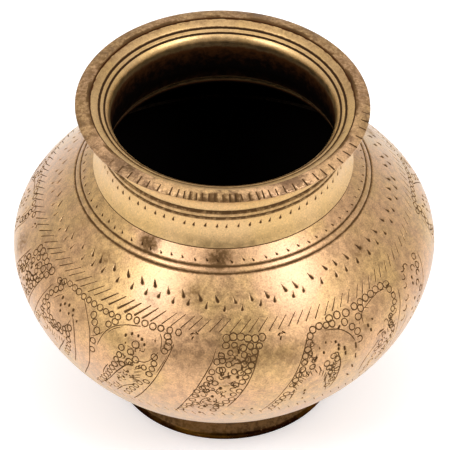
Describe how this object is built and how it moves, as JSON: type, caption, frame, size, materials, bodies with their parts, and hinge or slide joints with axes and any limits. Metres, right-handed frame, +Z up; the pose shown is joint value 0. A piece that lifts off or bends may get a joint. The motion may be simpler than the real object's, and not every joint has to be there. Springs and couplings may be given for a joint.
{
  "type": "brass lota",
  "caption": "Round-bellied brass water pot (lota) with a wide funnel mouth, a flat hooped rim, engraved shoulders and a low foot ring.",
  "frame": {"origin": "centre of the foot's resting face, the bottom centre of the object's box", "axes": "+Z up along the axis that every piece is turned about; +X and +Y are free"},
  "size_m": [0.1516, 0.1516, 0.127],
  "materials": {
    "rim_brass": "hand-worn brass, brown in the hand-cut nicks and turned lines",
    "neck_brass": "smooth yellow brass, tarnished brown to black down the throat",
    "body_brass": "worn pinkish brass, engraved outside and nearly black with tarnish inside",
    "foot_brass": "brown patina",
    "solder": "dull hard solder"
  },
  "bodies": {
    "root": {"rim_hoop": "rim_brass", "neck_collar": "neck_brass", "shoulder_shell": "body_brass", "bowl_shell": "body_brass", "foot_ring": "foot_brass", "rim_solder": "solder", "neck_solder": "solder", "belly_solder": "solder", "foot_solder": "solder"}
  },
  "joints": []
}
